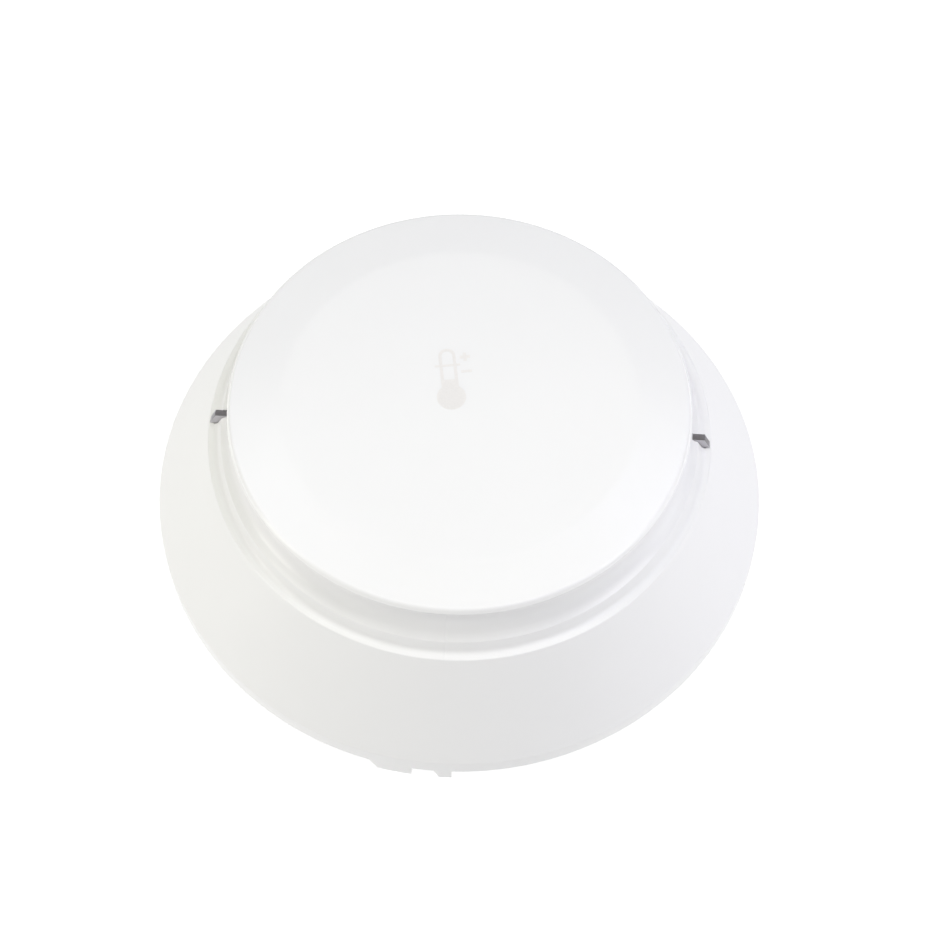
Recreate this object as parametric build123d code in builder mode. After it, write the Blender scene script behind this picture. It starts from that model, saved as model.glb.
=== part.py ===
from build123d import *
import os
from math import cos, radians, sin

# Low-profile ceiling heat detector: a twist-off detector head on its mounting base.
# Millimetres. +Z points out of the ceiling, towards the room, and z = 0 is the ceiling.
# The two light windows lie on the X axis. The head's moulding seam faces -Y.

os.makedirs("parts", exist_ok=True)

# ---- Driving dimensions: the outside of the head ----
rim_radius = 55.0
rim_bottom_z = 3.0
rim_top_z = 6.6
wall = 2.0
ledge_radius = 44.4
ledge_z = 26.1
ridge_radius = 42.0
ridge_z = 28.05
neck_radius = 39.5
neck_top_z = 34.4
disc_radius = 40.4
disc_top_z = 37.1
crown_ring_radius = 31.1
tab_bottom_z = 0.4

# ---- Driving dimensions: the inside of the head ----
chassis_z = 9.6
chassis_thickness = 1.8
chassis_radius = 49.4
board_z = 13.6
board_thickness = 1.6
board_radius = 44.0
window_radius = 42.2
boss_radius = 41.5
post_radius = 24.0
pipe_width = 1.24
slot_clearance = 0.08
chassis_screw_radius = 1.4

# ---- Driving dimensions: the base, the bayonet and the terminals ----
base_radius = 52.2
base_thickness = 2.4
hook_lip_bottom_z = 6.3
hook_top_z = 8.0
lug_bottom_z = 4.4
lug_top_z = 6.0
terminal_radius = 30.5
cable_opening_radius = 13.0
screw_slot_spacing = 60.0
screw_slot_length = 12.0
screw_hole_radius = 2.2
fixing_hole_spacing = 70.0
contact_top_z = 5.3
contact_gap = 0.3
terminal_screw_radius = 1.5

# ---- Positions that repeat round the axis, in degrees from +X ----
window_angles = [0.0, 180.0]
boss_angles = [90.0, 210.0, 330.0]
post_angles = [30.0, 150.0, 270.0]
terminal_angles = [45.0, 135.0, 225.0, 315.0]
bayonet_angles = [30.0, 150.0, 270.0]
hook_half_angle = 9.0
lug_half_angle = 7.5
snap_hook_angles = [45.0, 135.0, 225.0, 315.0]

# ---- Levels worked out from the driving dimensions ----
rim_inner_radius = rim_radius - wall
chassis_top_z = chassis_z + chassis_thickness
board_top_z = board_z + board_thickness
disc_underside_z = neck_top_z + 0.1
disc_inner_z = disc_top_z - 1.9
neck_inner_radius = neck_radius - wall


def radial_plane(angle):
    """Upright plane through the axis: local x runs outwards at this angle, local y is +Z."""
    outwards = (cos(radians(angle)), sin(radians(angle)), 0)
    sideways = (sin(radians(angle)), -cos(radians(angle)), 0)
    return Plane(origin=(0, 0, 0), x_dir=outwards, z_dir=sideways)


def tangent_plane(angle, radius):
    """Upright plane across the radius: local x runs anticlockwise, local y is +Z, normal outwards."""
    outwards = (cos(radians(angle)), sin(radians(angle)), 0)
    sideways = (-sin(radians(angle)), cos(radians(angle)), 0)
    origin = (radius * outwards[0], radius * outwards[1], 0)
    return Plane(origin=origin, x_dir=sideways, z_dir=outwards)


def save(builder, label):
    """Label one finished sub-part and write it as its own STEP file."""
    builder.part.label = label
    export_step(builder.part, "parts/" + label + ".step")


# ======== Head: outer cover ========
# Locking tabs: they hang from the rim flush with its outer face, ramped on the leading side.
# Each of the three places has a long tab and, a few degrees on, a short one.
tab_top_z = rim_bottom_z + 1.0
tab_shapes = [(-98.7, 3.07, 4.51), (-89.3, 1.13, 2.0)]

with BuildPart() as locking_tabs:
    for place in (0, 120, 240):
        for centre_angle, half_width, ramp_reach in tab_shapes:
            with BuildSketch(tangent_plane(centre_angle + place, rim_radius - 2 * wall)):
                with BuildLine():
                    Polyline(
                        (-ramp_reach, tab_top_z),
                        (-ramp_reach, rim_bottom_z),
                        (-half_width, tab_bottom_z),
                        (half_width, tab_bottom_z),
                        (half_width, tab_top_z),
                        close=True,
                    )
                make_face()
            extrude(amount=3 * wall)
    with BuildSketch(Plane.XY.offset(tab_bottom_z)):
        Circle(rim_radius)
        Circle(rim_inner_radius, mode=Mode.SUBTRACT)
    extrude(amount=tab_top_z - tab_bottom_z, mode=Mode.INTERSECT)

# The shell's section, from the rim's inner foot, up the outside, and down the inside.
# Each point carries the radius of its corner.
skirt_run = ledge_z - rim_top_z
skirt_slope = (rim_radius - ledge_radius) / skirt_run
skirt_wall = wall * (1 + skirt_slope**2) ** 0.5
ledge_underside_z = ledge_z - wall
skirt_inner_top = rim_radius - skirt_wall - skirt_slope * (ledge_underside_z - rim_top_z)
skirt_inner_foot_z = rim_top_z - (skirt_wall - wall) / skirt_slope

shell_section = [
    ((rim_inner_radius, rim_bottom_z), 0.3),
    ((rim_radius, rim_bottom_z), 0.4),
    ((rim_radius, rim_top_z), 0.9),
    ((ledge_radius, ledge_z), 0.35),
    ((ridge_radius + 0.9, ledge_z), 1.2),
    ((ridge_radius, ridge_z), 0.3),
    ((neck_radius, ridge_z + 1.39), 4.6),
    ((neck_radius, neck_top_z), 0.2),
    ((neck_inner_radius, neck_top_z), 0.2),
    ((neck_inner_radius, 30.8), 0.5),
    ((ridge_radius - wall, ridge_z - 0.65), 0.5),
    ((ridge_radius - 1.4, ledge_underside_z), 0.3),
    ((skirt_inner_top, ledge_underside_z), 0.5),
    ((rim_inner_radius, skirt_inner_foot_z), 0.5),
]
boss_top_z = ledge_underside_z + 0.5
boss_bottom_z = chassis_top_z + 0.1
boss_outer_radius = 3.2
boss_hole_radius = 1.45
boss_hole_depth = 7.0
slot_length = 2.64

with BuildPart() as outer_cover:
    with BuildSketch(Plane.XZ):
        with BuildLine():
            FilletPolyline(
                *[point for point, radius in shell_section],
                radius=[radius for point, radius in shell_section],
                close=True,
            )
        make_face()
    revolve(axis=Axis.Z)
    add(locking_tabs.part)
    with BuildSketch(Plane.XY.offset(boss_bottom_z)):
        for angle in boss_angles:
            with PolarLocations(boss_radius, 1, start_angle=angle):
                Circle(boss_outer_radius)
    extrude(amount=boss_top_z - boss_bottom_z)
    # blind holes that the chassis screws cut into
    with BuildSketch(Plane.XY.offset(boss_bottom_z)):
        for angle in boss_angles:
            with PolarLocations(boss_radius, 1, start_angle=angle):
                Circle(boss_hole_radius)
    extrude(amount=boss_hole_depth, mode=Mode.SUBTRACT)
    # window slots through the ridge and the ledge, one for each light pipe
    with BuildSketch(Plane.XY.offset(ledge_underside_z - 2.0)):
        for angle in window_angles:
            with PolarLocations(window_radius, 1, start_angle=angle):
                Rectangle(slot_length, pipe_width + 2 * slot_clearance)
    extrude(amount=8.0, mode=Mode.SUBTRACT)
save(outer_cover, "outer_cover")

# ======== Head: face disc ========
# The crowned collector disc: a nearly flat centre, a soft ring, and an edge that overhangs the neck.
# A spigot under it stands in the neck, and four barbed legs hold it there.
spigot_outer = neck_inner_radius - 0.3
spigot_inner = spigot_outer - 1.4
leg_foot_z = 28.4
leg_top_z = 33.0
leg_half_width = 4.0
disc_section = [
    ((0, disc_top_z), 0),
    ((crown_ring_radius, disc_top_z - 0.06), 14.0),
    ((disc_radius - 0.35, disc_top_z - 0.85), 0.8),
    ((disc_radius, disc_underside_z + 0.55), 0.5),
    ((disc_radius - 0.5, disc_underside_z), 0.25),
    ((spigot_outer, disc_underside_z), 0),
    ((spigot_outer, 31.8), 0.2),
    ((spigot_inner, 31.8), 0.2),
    ((spigot_inner, disc_inner_z - 0.9), 0.6),
    ((crown_ring_radius, disc_inner_z), 5.0),
    ((0, disc_inner_z), 0),
]

with BuildPart() as face_disc:
    with BuildSketch(Plane.XZ):
        with BuildLine():
            FilletPolyline(
                *[point for point, radius in disc_section],
                radius=[radius for point, radius in disc_section],
                close=True,
            )
        make_face()
    revolve(axis=Axis.Z)
    for angle in snap_hook_angles:
        with BuildSketch(radial_plane(angle)):
            with BuildLine():
                Polyline(
                    (spigot_inner + 0.3, leg_top_z),
                    (spigot_inner + 0.3, leg_foot_z),
                    (spigot_outer - 0.3, leg_foot_z),
                    (spigot_outer + 0.7, leg_foot_z + 1.0),
                    (spigot_outer + 0.7, leg_foot_z + 1.5),
                    (spigot_outer - 0.1, leg_foot_z + 2.5),
                    (spigot_outer - 0.1, leg_top_z),
                    close=True,
                )
            make_face()
        extrude(amount=leg_half_width, both=True)
save(face_disc, "face_disc")

# ======== Head: light pipes ========
# Clear wedges: each stands on the ledge with its top just above the ridge and its outer face
# sloping to the ledge's edge, and its stem goes down through the slot to the lamp on the board.
pipe_top_z = ridge_z + 0.7
pipe_foot_z = 17.4
pipe_lip_z = ledge_z + 0.12
pipe_half_length = 1.2

for angle, side in zip(window_angles, ("right", "left")):
    with BuildPart() as light_pipe:
        with BuildSketch(radial_plane(angle)):
            with BuildLine():
                Polyline(
                    (window_radius - pipe_half_length, pipe_foot_z),
                    (window_radius + pipe_half_length, pipe_foot_z),
                    (window_radius + pipe_half_length, pipe_lip_z),
                    (window_radius + pipe_half_length + 0.8, pipe_lip_z),
                    (window_radius + pipe_half_length - 0.3, pipe_top_z),
                    (window_radius - pipe_half_length, pipe_top_z),
                    close=True,
                )
            make_face()
        extrude(amount=pipe_width / 2, both=True)
    save(light_pipe, "light_pipe_" + side)

# ======== Head: rear chassis ========
# A dished plate that closes the cover's back. A ring wall under it carries three bayonet lugs,
# and short posts on it carry the board.
ring_outer = 46.8
ring_inner = 45.2
lug_outer = 49.2
blade_thickness = 0.8
blade_width = 4.0
post_outer_radius = 2.6
post_pilot_radius = 0.95
hub_radius = 12.0
hub_wall = 1.4
plate_rib_z = chassis_z - 1.0

with BuildPart() as rear_chassis:
    with BuildSketch(Plane.XY.offset(chassis_z)):
        Circle(chassis_radius)
    extrude(amount=chassis_thickness)
    with BuildSketch(Plane.XY.offset(lug_bottom_z)):
        Circle(ring_outer)
        Circle(ring_inner, mode=Mode.SUBTRACT)
    extrude(amount=chassis_z - lug_bottom_z)
    for angle in bayonet_angles:
        with BuildSketch(radial_plane(angle - lug_half_angle)):
            with Locations(((ring_outer + lug_outer) / 2 - 0.2, (lug_bottom_z + lug_top_z) / 2)):
                Rectangle(lug_outer - ring_outer + 0.4, lug_top_z - lug_bottom_z)
        revolve(axis=Axis.Z, revolution_arc=2 * lug_half_angle)
    with BuildSketch(Plane.XY.offset(chassis_top_z)):
        for angle in post_angles:
            with PolarLocations(post_radius, 1, start_angle=angle):
                Circle(post_outer_radius)
    extrude(amount=board_z - chassis_top_z)
    # a low hub ring and ribs that stiffen the middle of the plate
    with BuildSketch(Plane.XY.offset(plate_rib_z)):
        Circle(hub_radius)
        Circle(hub_radius - hub_wall, mode=Mode.SUBTRACT)
        for angle in (0, 60, 120, 180, 240, 300):
            with PolarLocations(hub_radius + 6.0, 1, start_angle=angle):
                Rectangle(13.0, 1.2)
    extrude(amount=chassis_z - plate_rib_z + 0.2)
    # pilot holes in the posts, clearance holes for the chassis screws, and the blade slots
    with BuildSketch(Plane.XY.offset(chassis_z - 2.0)):
        for angle in boss_angles:
            with PolarLocations(boss_radius, 1, start_angle=angle):
                Circle(chassis_screw_radius + 0.3)
        for angle in terminal_angles:
            with PolarLocations(terminal_radius, 1, start_angle=angle):
                Rectangle(blade_thickness + 0.4, blade_width + 0.4)
    extrude(amount=5.0, mode=Mode.SUBTRACT)
    with BuildSketch(Plane.XY.offset(chassis_z + 0.6)):
        for angle in post_angles:
            with PolarLocations(post_radius, 1, start_angle=angle):
                Circle(post_pilot_radius)
    extrude(amount=5.0, mode=Mode.SUBTRACT)
save(rear_chassis, "rear_chassis")

# ======== Head: screws ========
recess_width = 0.8


def screws(places, radius, head_z, head_radius, head_height, shank_radius, shank_length, up):
    """Pan-head screws round the axis. The head's flat seats at head_z and the shank runs up or down."""
    way = 1 if up else -1
    recess_length = 2 * head_radius - 1.0
    with BuildPart() as made:
        for angle in places:
            with BuildSketch(Plane.XY.offset(head_z)):
                with PolarLocations(radius, 1, start_angle=angle):
                    Circle(head_radius)
            extrude(amount=-way * head_height)
            with BuildSketch(Plane.XY.offset(head_z - way * head_height)):
                with PolarLocations(radius, 1, start_angle=angle):
                    Rectangle(recess_length, recess_width)
                    Rectangle(recess_width, recess_length)
            extrude(amount=way * head_height * 0.5, mode=Mode.SUBTRACT)
            with BuildSketch(Plane.XY.offset(head_z)):
                with PolarLocations(radius, 1, start_angle=angle):
                    Circle(shank_radius)
            extrude(amount=way * shank_length)
    return made


chassis_screws = screws(boss_angles, boss_radius, chassis_z, 2.7, 1.8, chassis_screw_radius, 8.2, up=True)
save(chassis_screws, "chassis_screws")
board_screws = screws(post_angles, post_radius, board_top_z, 1.9, 1.3, 0.9, 3.6, up=False)
save(board_screws, "board_screws")

# ======== Head: circuit board and what is on it ========
lead_hole_radius = 0.45
sensor_lead_offset = 0.7
board_parts_z = board_top_z + 0.02

with BuildPart() as circuit_board:
    with BuildSketch(Plane.XY.offset(board_z)):
        Circle(board_radius)
        for angle in boss_angles:
            with PolarLocations(boss_radius, 1, start_angle=angle):
                Circle(3.9, mode=Mode.SUBTRACT)
        for angle in post_angles:
            with PolarLocations(post_radius, 1, start_angle=angle):
                Circle(1.1, mode=Mode.SUBTRACT)
        for angle in terminal_angles:
            with PolarLocations(terminal_radius, 1, start_angle=angle):
                Rectangle(blade_thickness + 0.2, blade_width + 0.2, mode=Mode.SUBTRACT)
        with Locations((-sensor_lead_offset, 0), (sensor_lead_offset, 0)):
            Circle(lead_hole_radius, mode=Mode.SUBTRACT)
    extrude(amount=board_thickness)
save(circuit_board, "circuit_board")

# Two surface-mounted red lamps under the light pipes, each a square body with a round lens.
lamp_body_height = 1.1

with BuildPart() as status_leds:
    with BuildSketch(Plane.XY.offset(board_parts_z)):
        with PolarLocations(window_radius, 2):
            Rectangle(2.8, 3.2)
    extrude(amount=lamp_body_height)
    with BuildSketch(Plane.XY.offset(board_parts_z + lamp_body_height)):
        with PolarLocations(window_radius, 2):
            Circle(1.2)
    extrude(amount=0.8, taper=15)
save(status_leds, "status_leds")

# The measuring chip: a flat square package with rows of legs on its four sides.
chip_centre = (-12.0, -2.0)
chip_side = 7.0
legs_per_side = 8
leg_pitch = 0.8
leg_reach = 1.0
leg_thickness = 0.35

with BuildPart() as microcontroller:
    with BuildSketch(Plane.XY.offset(board_parts_z + 0.1)):
        with Locations(chip_centre):
            Rectangle(chip_side, chip_side)
    extrude(amount=1.4)
    with BuildSketch(Plane.XY.offset(board_parts_z)):
        with Locations(chip_centre):
            with GridLocations(leg_pitch, chip_side + leg_reach, legs_per_side, 2):
                Rectangle(leg_thickness, leg_reach + 0.4)
            with GridLocations(chip_side + leg_reach, leg_pitch, 2, legs_per_side):
                Rectangle(leg_reach + 0.4, leg_thickness)
    extrude(amount=leg_thickness)
save(microcontroller, "microcontroller")

# Two upright electrolytic capacitors on square plastic feet.
capacitor_places = [(14.0, -14.0), (22.5, -6.5)]
capacitor_foot_height = 0.9

with BuildPart() as capacitors:
    with BuildSketch(Plane.XY.offset(board_parts_z)):
        with Locations(*capacitor_places):
            RectangleRounded(6.6, 6.6, 0.9)
    extrude(amount=capacitor_foot_height)
    with BuildSketch(Plane.XY.offset(board_parts_z + capacitor_foot_height)):
        with Locations(*capacitor_places):
            Circle(3.15)
    extrude(amount=6.8)
    can_tops = capacitors.edges().filter_by(GeomType.CIRCLE).group_by(Axis.Z)[-1]
    fillet(can_tops, 0.4)
save(capacitors, "capacitors")

# The magnet-operated test switch: a glass capsule held on two bent leads.
reed_centre = (-14.0, -17.0)
reed_z = board_top_z + 1.9
reed_half = 7.0
reed_lead_end = 9.4

with BuildPart() as reed_switch:
    with BuildSketch(Plane.YZ.offset(reed_centre[0] - reed_half)):
        with Locations((reed_centre[1], reed_z)):
            Circle(1.1)
    extrude(amount=2 * reed_half)
    fillet(reed_switch.edges().filter_by(GeomType.CIRCLE), 0.6)
    for way in (-1, 1):
        with BuildLine() as lead_path:
            FilletPolyline(
                (reed_centre[0] + way * (reed_half - 1.0), reed_centre[1], reed_z),
                (reed_centre[0] + way * reed_lead_end, reed_centre[1], reed_z),
                (reed_centre[0] + way * reed_lead_end, reed_centre[1], board_parts_z),
                radius=0.6,
            )
        with BuildSketch(Plane(origin=lead_path.line @ 0, z_dir=lead_path.line % 0)):
            Circle(0.3)
        sweep(path=lead_path.line)
save(reed_switch, "reed_switch")

# Surface-mounted resistors and diodes, laid out in rows.
with BuildPart() as chip_parts:
    with BuildSketch(Plane.XY.offset(board_parts_z)):
        with Locations((-4.0, 20.0)):
            with GridLocations(4.4, 3.4, 4, 3):
                Rectangle(2.0, 1.25)
        with Locations((30.0, 9.0)):
            with GridLocations(3.6, 4.8, 2, 3):
                Rectangle(1.6, 3.2)
        with Locations((-29.0, -4.0)):
            with GridLocations(3.4, 3.2, 2, 4):
                Rectangle(2.0, 1.25)
    extrude(amount=0.75)
save(chip_parts, "chip_parts")

# The slow thermistor: a small coated disc on two leads close to the board.
reference_centre = (14.0, 20.0)
reference_z = board_top_z + 4.4
reference_thickness = 1.4
reference_lead_offset = 1.27
sensor_lead_radius = 0.25

with BuildPart() as reference_thermistor:
    with BuildSketch(Plane.XZ.offset(-reference_centre[1] - reference_thickness / 2)):
        with Locations((reference_centre[0], reference_z)):
            Circle(1.9)
    extrude(amount=reference_thickness)
    fillet(reference_thermistor.edges().filter_by(GeomType.CIRCLE), 0.4)
    with BuildSketch(Plane.XY.offset(board_parts_z)):
        with Locations(reference_centre):
            with GridLocations(2 * reference_lead_offset, 1, 2, 1):
                Circle(sensor_lead_radius)
    extrude(amount=reference_z - board_parts_z - 0.6)
save(reference_thermistor, "reference_thermistor")

# ======== Head: the sensor under the disc ========
bead_radius = 1.15
pad_height = 0.8
pad_bottom_z = disc_inner_z - 0.05 - pad_height
bead_z = pad_bottom_z - 0.05 - bead_radius
post_top_z = bead_z - bead_radius - 0.6

with BuildPart() as sensing_thermistor:
    with Locations((0, 0, bead_z)):
        Sphere(bead_radius)
    with BuildSketch(Plane.XY.offset(board_z + 0.1)):
        with Locations((-sensor_lead_offset, 0), (sensor_lead_offset, 0)):
            Circle(sensor_lead_radius)
    extrude(amount=bead_z - board_z - 0.1)
save(sensing_thermistor, "sensing_thermistor")

with BuildPart() as thermal_pad:
    with BuildSketch(Plane.XY.offset(pad_bottom_z)):
        Circle(4.0)
    extrude(amount=pad_height)
save(thermal_pad, "thermal_pad")

# The slim tube that guides the sensor's leads up from the board.
with BuildPart() as sensor_post:
    with BuildSketch(Plane.XZ):
        with BuildLine():
            FilletPolyline(
                (1.3, board_parts_z),
                (4.2, board_parts_z),
                (4.2, board_parts_z + 1.2),
                (2.7, board_parts_z + 2.4),
                (2.1, post_top_z),
                (1.3, post_top_z),
                radius=[0, 0.3, 0.8, 0.8, 0.3, 0],
                close=True,
            )
        make_face()
    revolve(axis=Axis.Z)
save(sensor_post, "sensor_post")

# ======== Head: contact blades ========
# Bent strips: soldered in the board, down through the chassis, with a foot that wipes on the base.
blade_foot_z = contact_top_z + contact_gap
blade_foot_thickness = 0.6
blade_top_z = board_top_z + 0.9

with BuildPart() as contact_blades:
    for angle in terminal_angles:
        with BuildSketch(radial_plane(angle)):
            with BuildLine():
                Polyline(
                    (terminal_radius + blade_thickness / 2, blade_top_z),
                    (terminal_radius + blade_thickness / 2, blade_foot_z),
                    (terminal_radius - 3.0, blade_foot_z),
                    (terminal_radius - 3.0, blade_foot_z + blade_foot_thickness),
                    (terminal_radius - blade_thickness / 2, blade_foot_z + blade_foot_thickness),
                    (terminal_radius - blade_thickness / 2, blade_top_z),
                    close=True,
                )
            make_face()
        extrude(amount=blade_width / 2, both=True)
save(contact_blades, "contact_blades")

# ======== Base: moulded plate ========
terminal_offset = -8.0
pillar_height = 1.6
pillar_z = base_thickness + pillar_height
hook_inner = 47.2
hook_post_inner = lug_outer + 0.3
hook_outer = hook_post_inner + 1.2
stop_gap_angle = 0.7
stop_angle = 2.2
collar_radius = cable_opening_radius + 1.8
collar_height = 2.4
rib_radius = 41.4
terminal_hole_bottom_z = 0.9
back_recess_radius = 43.0
back_recess_depth = 0.8


def terminal_point(angle):
    """The centre of the terminal screw that belongs to the blade at this angle."""
    outwards = Vector(cos(radians(angle)), sin(radians(angle)))
    sideways = Vector(-sin(radians(angle)), cos(radians(angle)))
    return outwards * terminal_radius + sideways * terminal_offset

with BuildPart() as base_plate:
    with BuildSketch():
        Circle(base_radius)
    extrude(amount=base_thickness)
    # landing rib under the head's ring wall, collar round the cable opening, and stiffening ribs
    with BuildSketch(Plane.XY.offset(base_thickness)):
        Circle(ring_outer - 0.2)
        Circle(ring_inner + 0.2, mode=Mode.SUBTRACT)
        for angle in range(0, 360, 30):
            with PolarLocations(rib_radius, 1, start_angle=angle + 15):
                Rectangle(8.6, 1.4)
    extrude(amount=lug_bottom_z - 0.3 - base_thickness)
    with BuildSketch(Plane.XY.offset(base_thickness)):
        Circle(collar_radius)
    extrude(amount=collar_height)
    # terminal pillars
    for angle in terminal_angles:
        with BuildSketch(tangent_plane(angle, terminal_radius - 4.5)):
            with Locations((terminal_offset, base_thickness + pillar_height / 2)):
                Rectangle(9.6, pillar_height)
        extrude(amount=9.0)
    # bayonet hooks: a curved post with a lip over the head's lug, and an end wall that stops it
    for angle in bayonet_angles:
        with BuildSketch(radial_plane(angle - hook_half_angle)):
            with BuildLine():
                Polyline(
                    (hook_post_inner, base_thickness - 0.5),
                    (hook_outer, base_thickness - 0.5),
                    (hook_outer, hook_top_z),
                    (hook_inner, hook_top_z),
                    (hook_inner, hook_lip_bottom_z),
                    (hook_post_inner, hook_lip_bottom_z),
                    close=True,
                )
            make_face()
        revolve(axis=Axis.Z, revolution_arc=2 * hook_half_angle)
        stop_start = angle - lug_half_angle - stop_gap_angle - stop_angle
        with BuildSketch(radial_plane(stop_start)):
            with Locations(((hook_inner + hook_outer) / 2, (base_thickness - 0.5 + hook_top_z) / 2)):
                Rectangle(hook_outer - hook_inner, hook_top_z - base_thickness + 0.5)
        revolve(axis=Axis.Z, revolution_arc=stop_angle)
    # cable opening, screw slots on the X axis, fixing holes on the Y axis
    with BuildSketch(Plane.XY.offset(-1)):
        Circle(cable_opening_radius)
        with Locations((-screw_slot_spacing / 2, 0), (screw_slot_spacing / 2, 0)):
            SlotOverall(screw_slot_length, 2 * screw_hole_radius)
        with Locations((0, -fixing_hole_spacing / 2), (0, fixing_hole_spacing / 2)):
            Circle(screw_hole_radius)
    extrude(amount=8.0, mode=Mode.SUBTRACT)
    # threaded holes of the terminals, blind at the back
    with BuildSketch(Plane.XY.offset(terminal_hole_bottom_z)):
        for angle in terminal_angles:
            with Locations(terminal_point(angle)):
                Circle(terminal_screw_radius + 0.05)
    extrude(amount=5.0, mode=Mode.SUBTRACT)
    # shallow recesses moulded into the back, which leave the rim and the middle to rest on
    with BuildSketch():
        for angle in range(0, 360, 60):
            with PolarLocations(back_recess_radius, 1, start_angle=angle + 30):
                SlotOverall(14.0, 3.4, rotation=90)
    extrude(amount=back_recess_depth, mode=Mode.SUBTRACT)
    # the plate's outer edge is eased, back and front
    outer_edges = base_plate.edges().filter_by(GeomType.CIRCLE)
    fillet(outer_edges.filter_by(lambda edge: abs(edge.radius - base_radius) < 0.01), 0.4)
save(base_plate, "base_plate")

# ======== Base: terminals ========
# Sprung bronze strips: held flat under the clamp, then cranked up to meet the head's blade.
strip_thickness = 0.5
strip_width = 5.0
strip_end = terminal_offset - 4.4
strip_inner = terminal_radius - 0.7 - strip_width / 2
terminal_hole_radius = 1.7
strip_low_z = pillar_z + 0.02
strip_high_z = contact_top_z - strip_thickness
clamp_z = strip_low_z + strip_thickness + 0.02
clamp_thickness = 0.9


with BuildPart() as spring_contacts:
    for angle in terminal_angles:
        with BuildSketch(tangent_plane(angle, strip_inner)):
            with BuildLine():
                Polyline(
                    (strip_end, strip_low_z),
                    (terminal_offset + 4.6, strip_low_z),
                    (terminal_offset + 6.0, strip_high_z),
                    (3.0, strip_high_z),
                    (4.2, strip_high_z - 0.7),
                    (4.6, strip_high_z - 0.4),
                    (3.3, contact_top_z),
                    (terminal_offset + 5.7, contact_top_z),
                    (terminal_offset + 4.3, strip_low_z + strip_thickness),
                    (strip_end, strip_low_z + strip_thickness),
                    close=True,
                )
            make_face()
        extrude(amount=strip_width)
        with BuildSketch(Plane.XY.offset(strip_low_z)):
            with Locations(terminal_point(angle)):
                Circle(terminal_hole_radius)
        extrude(amount=strip_thickness, mode=Mode.SUBTRACT)
save(spring_contacts, "spring_contacts")

with BuildPart() as clamp_plates:
    with BuildSketch(Plane.XY.offset(clamp_z)):
        for angle in terminal_angles:
            with Locations(terminal_point(angle)):
                Rectangle(7.0, 7.0, rotation=angle)
                Circle(terminal_hole_radius, mode=Mode.SUBTRACT)
    extrude(amount=clamp_thickness)
save(clamp_plates, "clamp_plates")

terminal_head_z = clamp_z + clamp_thickness + 0.02
terminal_head_height = 1.9
terminal_recess_depth = 0.9
terminal_screw_foot_z = terminal_hole_bottom_z + 0.2

with BuildPart() as terminal_screws:
    with BuildSketch(Plane.XY.offset(terminal_head_z)):
        for angle in terminal_angles:
            with Locations(terminal_point(angle)):
                Circle(2.8)
    extrude(amount=terminal_head_height)
    with BuildSketch(Plane.XY.offset(terminal_head_z + terminal_head_height - terminal_recess_depth)):
        for angle in terminal_angles:
            with Locations(terminal_point(angle)):
                Rectangle(4.4, recess_width, rotation=angle + 25)
                Rectangle(recess_width, 4.4, rotation=angle + 25)
    extrude(amount=terminal_recess_depth, mode=Mode.SUBTRACT)
    with BuildSketch(Plane.XY.offset(terminal_screw_foot_z)):
        for angle in terminal_angles:
            with Locations(terminal_point(angle)):
                Circle(terminal_screw_radius)
    extrude(amount=terminal_head_z - terminal_screw_foot_z)
save(terminal_screws, "terminal_screws")
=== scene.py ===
import math

import bmesh
import bpy
import numpy as np
from mathutils import Matrix, Vector


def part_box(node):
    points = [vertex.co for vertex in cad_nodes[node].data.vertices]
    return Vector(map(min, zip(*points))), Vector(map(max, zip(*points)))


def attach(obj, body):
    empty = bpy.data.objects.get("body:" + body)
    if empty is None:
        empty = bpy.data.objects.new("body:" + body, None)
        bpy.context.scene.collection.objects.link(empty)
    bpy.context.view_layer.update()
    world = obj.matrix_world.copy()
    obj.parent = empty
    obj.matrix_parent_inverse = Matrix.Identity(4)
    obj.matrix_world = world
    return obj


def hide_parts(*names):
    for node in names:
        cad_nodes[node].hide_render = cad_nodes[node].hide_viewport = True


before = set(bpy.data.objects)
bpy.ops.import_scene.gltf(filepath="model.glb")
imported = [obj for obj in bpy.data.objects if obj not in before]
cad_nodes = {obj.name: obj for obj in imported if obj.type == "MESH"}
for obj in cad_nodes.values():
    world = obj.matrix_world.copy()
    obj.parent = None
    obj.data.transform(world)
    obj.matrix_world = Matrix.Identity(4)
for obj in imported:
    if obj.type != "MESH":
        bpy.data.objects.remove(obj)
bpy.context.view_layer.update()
mm = 0.001

# ======== Camera ========
# A long lens looks down on the detector's face from the front, about 60 degrees above the table,
# from a little under half a metre. It is turned a trace in its own plane.
view_azimuth = math.radians(2.55)
view_elevation = math.radians(60.53)
view_distance = 454.6 * mm
view_target = Vector((0, 0, 3.0 * mm))
view_roll = math.radians(0.704)
slide_right = 2.80 * mm
slide_up = 3.89 * mm

backwards = Vector((
    math.sin(view_azimuth) * math.cos(view_elevation),
    -math.cos(view_azimuth) * math.cos(view_elevation),
    math.sin(view_elevation),
))
rightwards = Vector((math.cos(view_azimuth), math.sin(view_azimuth), 0))
upwards = backwards.cross(rightwards)
camera_data = bpy.data.cameras.new("camera")
camera_data.lens = 93.15
camera_data.sensor_width = 36
camera_data.clip_start = 0.01
camera_data.clip_end = 20
camera = bpy.data.objects.new("camera", camera_data)
bpy.context.collection.objects.link(camera)
turned_right = rightwards * math.cos(view_roll) + upwards * math.sin(view_roll)
turned_up = upwards * math.cos(view_roll) - rightwards * math.sin(view_roll)
camera.matrix_world = Matrix.Translation(
    view_target + backwards * view_distance + rightwards * slide_right + upwards * slide_up
) @ Matrix((turned_right, turned_up, backwards)).transposed().to_4x4()
bpy.context.scene.camera = camera

# ======== Studio: floor and light ========
# A pale matt table that runs far past the detector, and glows so that it reads as plain white. Large
# soft boxes stand round and over the table, as for any small white product.


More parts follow.
